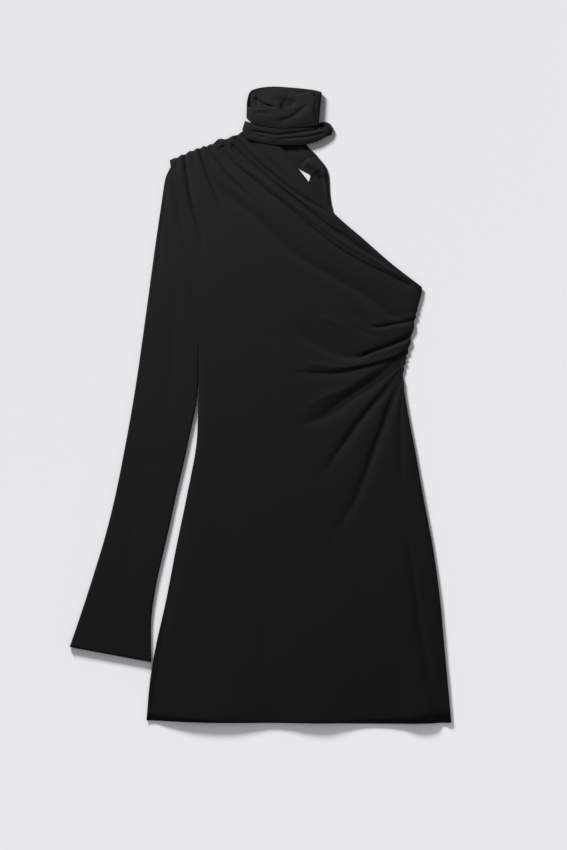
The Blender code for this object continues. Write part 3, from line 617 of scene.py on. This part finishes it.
INNER_WRAP_CREASES = [
    Crease("curved", 2.6, 1.5, 3.5, 0.1, 0.2,
           [(255, 97), (259.5, 101), (264, 104), (270, 106), (277, 107)]),
    Crease("left", 1.2, 1.5, 1.5, 0.3, 0.3, [(255.5, 96), (257, 102), (258, 108)]),
    Crease("soft", 1.4, 2.5, 3.5, 0.3, 0.3, [(270, 97.5), (277, 99.5), (285, 100), (291, 98)]),
    Crease("upright", 1.6, 1.6, 2.0, 0.3, 0.3, [(286.5, 89), (288, 93), (289, 97)]),
    Crease("right", 1.4, 1.6, 2.4, 0.2, 0.2, [(294, 93), (302, 92), (310, 90.5)]),
    Crease("pit", 4.0, 3.5, 6.0, 0.3, 0.3, [(279, 106.5), (284, 104.5), (290, 102.5), (298, 102.5)]),
]

SCARF_LOWEST = 0.45  # middle of the scarf's cloth where it lies on the surface
INNER_WRAP_LOWEST = 1.9
CREASED_ABOVE = 3  # a turn's creases are only in its front, over this height
TAIL_COLUMNS = 40
TAIL_STEPS = 12

TailRow = namedtuple("TailRow", "left_x left_y right_x right_y z ridge ridge_at ridge_width")
TAIL = [
    TailRow(26, 388.6, 62, 388.4, 0.5, 0.3, 0.5, 0.30),
    TailRow(30.5, 374.5, 68.5, 375.5, 0.6, 1.2, 0.5, 0.30),
    TailRow(41.5, 359.5, 79, 365.5, 0.7, 2.3, 0.55, 0.28),
    TailRow(52, 346.5, 87, 356, 0.7, 3.2, 0.62, 0.28),
    TailRow(62.5, 340, 94.5, 346, 0.7, 3.4, 0.66, 0.26),
    TailRow(71.5, 334.5, 98.5, 334, 0.7, 2.6, 0.70, 0.26),
    TailRow(71, 327, 100, 323, 0.6, 2.2, 0.74, 0.22),
    TailRow(67, 318, 100.5, 311.5, 0.5, 2.4, 0.84, 0.12),
    TailRow(65, 306, 102, 298.5, 0.5, 2.2, 0.86, 0.10),
    TailRow(74, 294, 104.5, 285.5, 0.5, 1.0, 0.87, 0.09),
    TailRow(86, 284, 107.5, 274.5, 0.5, 0.0, 0.88, 0.09),
]
TAIL_CREASES = [
    Crease("under the collar", 1.6, 3.0, 3.0, 0.0, 0.5, [(290, 146), (298, 152), (305, 160), (308, 167)]),
    Crease("outer strip", 1.3, 2.0, 2.0, 0.2, 0.2, [(303, 145), (312, 152), (319, 160), (323, 170)]),
    Crease("knot", -2.4, 4.5, 6.5, 0.3, 0.3, [(303, 158), (309, 163), (315, 169), (319, 174)]),
    Crease("above the knot", 1.6, 2.0, 2.5, 0.2, 0.2, [(301, 165), (305, 160), (310, 157), (316, 157)]),
    Crease("inner face", 3.4, 9.0, 1.8, 0.15, 0.1, [(319.5, 174), (320.5, 185), (322, 197), (326, 210)]),
    Crease("outer roll", -1.8, 3.0, 4.0, 0.2, 0.2,
           [(318, 158), (323.5, 170), (325.5, 185), (327, 200), (329, 212)]),
]


def build_sleeve(material):
    rows = np.array(SLEEVE, float)
    last = len(rows) - 1
    middle = np.array(ARMHOLE[1], float)
    chord = (np.array(ARMHOLE[0], float) + np.array(ARMHOLE[2], float)) / 2
    bow = np.linalg.norm(middle - chord)
    radius = (TOP - SHELL) / 2
    low = SHELL / 2 + SLEEVE_CLEARANCE
    flat = np.linspace(0, 1, SLEEVE_FLAT_POINTS)
    turn = math.pi * np.arange(1, SLEEVE_ROLL_POINTS + 1) / (SLEEVE_ROLL_POINTS + 1)
    sides = []
    for place in np.linspace(0, last, SLEEVE_RINGS):
        row = smooth_at(rows, place)
        outer, inner = row[0:2], row[2:4]
        width = np.linalg.norm(inner - outer)
        across = (inner - outer) / width
        margin = radius + SHELL / 2
        span = width - 2 * margin
        section = np.concatenate([
            np.column_stack([margin + flat * span, np.full(len(flat), low)]),
            np.column_stack([width - margin + radius * np.sin(turn), low + radius * (1 - np.cos(turn))]),
            np.column_stack([margin + flat[::-1] * span, np.full(len(flat), low + 2 * radius)]),
            np.column_stack([margin - radius * np.sin(turn), low + radius * (1 + np.cos(turn))]),
        ])
        shares = section[:, 0] / width
        bend = ease((place - last + SLEEVE_BOWED_ROWS) / SLEEVE_BOWED_ROWS)
        bowed = bow * bend * 4 * shares * (1 - shares)
        square_to = np.array([across[1], -across[0]])
        plan = outer + section[:, :1] * across - bowed[:, None] * square_to
        sides.append(np.column_stack([plan, section[:, 1]]))
    surface = np.array(sides)
    top = surface[..., 2] > low + 1.6 * radius
    surface[..., 2] += top * crease_height(surface[..., :2], SLEEVE_CREASES)
    into = ease(np.linspace(0, last, SLEEVE_RINGS) - last + 1)[:, None]
    surface[..., 0] += into * SLEEVE_UNDERLAP
    surface[..., 2] -= into * SLEEVE_UNDERLAP_DROP * top
    padded = np.concatenate([surface[:, -1:], surface, surface[:, :1]], axis=1)
    around = (padded[:, 2:] - padded[:, :-2]) / 2
    normals = np.cross(around, np.gradient(surface, axis=0))
    normals /= np.linalg.norm(normals, axis=-1, keepdims=True)
    cloth = make_cloth("sleeve_cloth", surface + normals * SHELL / 2, surface - normals * SHELL / 2,
                       "sleeve", material, closed_columns=True)


def band(sections, steps, columns, creases, closed=False):
    """Middle surface of a band, from its sections, with its bulge between the two edges."""
    table = np.array([tuple(section)[1:] for section in sections], float)
    if closed:
        table = np.concatenate([table[-1:], table, table[:2]])
        places = 1 + np.arange(len(sections) * steps) / steps
    else:
        places = np.linspace(0, len(table) - 1, (len(table) - 1) * steps + 1)
    shares = np.linspace(0, 1, columns)[:, None]
    surface = []
    for place in places:
        section = smooth_at(table, place)
        low, high, bulge = section[0:3], section[3:6], section[6]
        points = low + (high - low) * shares
        rise = bulge * 4 * (shares * (1 - shares))[:, 0]
        points[:, 2] = np.maximum(points[:, 2] + rise, SCARF_LOWEST)
        surface.append(points)
    surface = np.array(surface)
    level = surface[..., 2]
    lowest = SCARF_LOWEST if closed else INNER_WRAP_LOWEST
    raised = ease((level - CREASED_ABOVE) / CREASED_ABOVE) if closed else 1.0
    surface[..., 2] = np.maximum(level + raised * crease_height(surface[..., :2], creases), lowest)
    return surface


def build_scarf(material):
    middle = band(LOWER_WRAP, 12, 40, LOWER_WRAP_CREASES, closed=True)
    cloth = make_cloth("lower_wrap_cloth", *offset_sides(middle, closed_rows=True),
                       "scarf_lower_wrap", material, closed_rows=True)
    middle = band(UPPER_WRAP, 12, 48, UPPER_WRAP_CREASES, closed=True)
    cloth = make_cloth("upper_wrap_cloth", *offset_sides(middle, closed_rows=True),
                       "scarf_upper_wrap", material, closed_rows=True)
    middle = band(INNER_WRAP, 16, 40, INNER_WRAP_CREASES)
    cloth = make_cloth("inner_wrap_cloth", *offset_sides(middle), "scarf_inner_wrap", material)


def build_tail(material):
    table = np.array(TAIL, float)
    last = len(table) - 1
    shares = np.linspace(0, 1, TAIL_COLUMNS)
    middle = []
    for place in np.linspace(0, last, last * TAIL_STEPS + 1):
        row = smooth_at(table, place)
        plan = row[0:2] + (row[2:4] - row[0:2]) * shares[:, None]
        height, ridge, ridge_at, ridge_width = row[4:8]
        rise = ridge * np.exp(-(((shares - ridge_at) / ridge_width) ** 2))
        middle.append(np.column_stack([plan, height + np.maximum(rise, 0)]))
    middle = np.array(middle)
    level = middle[..., 2] + crease_height(middle[..., :2], TAIL_CREASES)
    middle[..., 2] = np.maximum(level, SCARF_LOWEST)
    cloth = make_cloth("tail_cloth", *offset_sides(middle), "scarf_tail", material)


def build_back(material):
    places = np.linspace(BACK_FIRST_PLACE, DRAPE_LINES[-1].place, BACK_ROWS)
    across = crowded(BACK_COLUMNS)
    plan = np.array([drape_line(place, across) for place in places])
    inward = plan[:, -1] - plan[:, 0]
    inward /= np.linalg.norm(inward, axis=1, keepdims=True)
    plan[:, 0] += inward * BACK_INSET
    plan[:, -1] -= inward * BACK_INSET
    upper = np.dstack([plan, np.full(plan.shape[:2], BACK_TOP)])
    lower = np.dstack([plan, np.full(plan.shape[:2], BACK_UNDERSIDE)])
    cloth = make_cloth("back_cloth", upper, lower, "back_panel", material)


def floor_paint():
    """Floor that looks evenly lit: its paint is darker where the lamp lights it more."""
    material = bpy.data.materials.new("floor")
    material.use_nodes = True
    nodes = material.node_tree.nodes
    links = material.node_tree.links

    def math_node(operation, first, second):
        node = nodes.new("ShaderNodeMath")
        node.operation = operation
        for socket, value in zip(node.inputs, (first, second)):
            if isinstance(value, (int, float)):
                socket.default_value = value
            else:
                links.new(value, socket)
        return node.outputs[0]

    place = nodes.new("ShaderNodeNewGeometry").outputs["Position"]
    away = nodes.new("ShaderNodeVectorMath")
    away.operation = "DISTANCE"
    links.new(place, away.inputs[0])
    away.inputs[1].default_value = LAMP_PLACE
    cube = math_node("POWER", away.outputs["Value"], 3.0)
    lamp_share = math_node("DIVIDE", LAMP_STRENGTH * LAMP_PLACE[2], cube)
    total = math_node("ADD", lamp_share, WORLD_STRENGTH)
    share = math_node("DIVIDE", 1.0, total)
    colour = nodes.new("ShaderNodeVectorMath")
    colour.operation = "SCALE"
    colour.inputs[0].default_value = BACKGROUND
    links.new(share, colour.inputs["Scale"])
    shader = nodes["Principled BSDF"]
    links.new(colour.outputs["Vector"], shader.inputs["Base Color"])
    shader.inputs["Roughness"].default_value = 1.0
    shader.inputs["Specular IOR Level"].default_value = 0.0
    return material


def make_floor():
    mesh = bpy.data.meshes.new("floor")
    corners = [(-1, -1), (1, -1), (1, 1), (-1, 1)]
    points = [(x * FLOOR_HALF, y * FLOOR_HALF, FLOOR_LEVEL) for x, y in corners]
    mesh.from_pydata(points, [], [(0, 1, 2, 3)])
    mesh.materials.append(floor_paint())
    floor = bpy.data.objects.new("floor", mesh)
    bpy.context.scene.collection.objects.link(floor)


def make_light():
    world = bpy.data.worlds.new("world")
    bpy.context.scene.world = world
    world.use_nodes = True
    background = world.node_tree.nodes["Background"]
    background.inputs["Color"].default_value = (1, 1, 1, 1)
    background.inputs["Strength"].default_value = WORLD_STRENGTH
    lamp = bpy.data.lights.new("key", "POINT")
    lamp.shadow_soft_size = LAMP_RADIUS
    lamp.energy = LAMP_STRENGTH * LAMP_WATTS
    holder = bpy.data.objects.new("key", lamp)
    holder.location = LAMP_PLACE
    bpy.context.scene.collection.objects.link(holder)


def make_camera():
    camera = bpy.data.cameras.new("camera")
    camera.sensor_fit = "VERTICAL"
    camera.sensor_height = SENSOR_HEIGHT
    camera.lens = LENS
    distance = PICTURE_HEIGHT * PICTURE_SCALE * MM * LENS / SENSOR_HEIGHT
    x, y = from_picture((PICTURE_WIDTH / 2, PICTURE_HEIGHT / 2)) * MM
    holder = bpy.data.objects.new("camera", camera)
    holder.location = (x, y, distance + CAMERA_OVER)
    bpy.context.scene.collection.objects.link(holder)
    bpy.context.scene.camera = holder


bpy.context.scene.view_settings.view_transform = "Standard"
black = jersey()
build_back(black)
build_front(black)
build_sleeve(black)
build_scarf(black)
build_tail(black)
make_floor()
make_light()
make_camera()
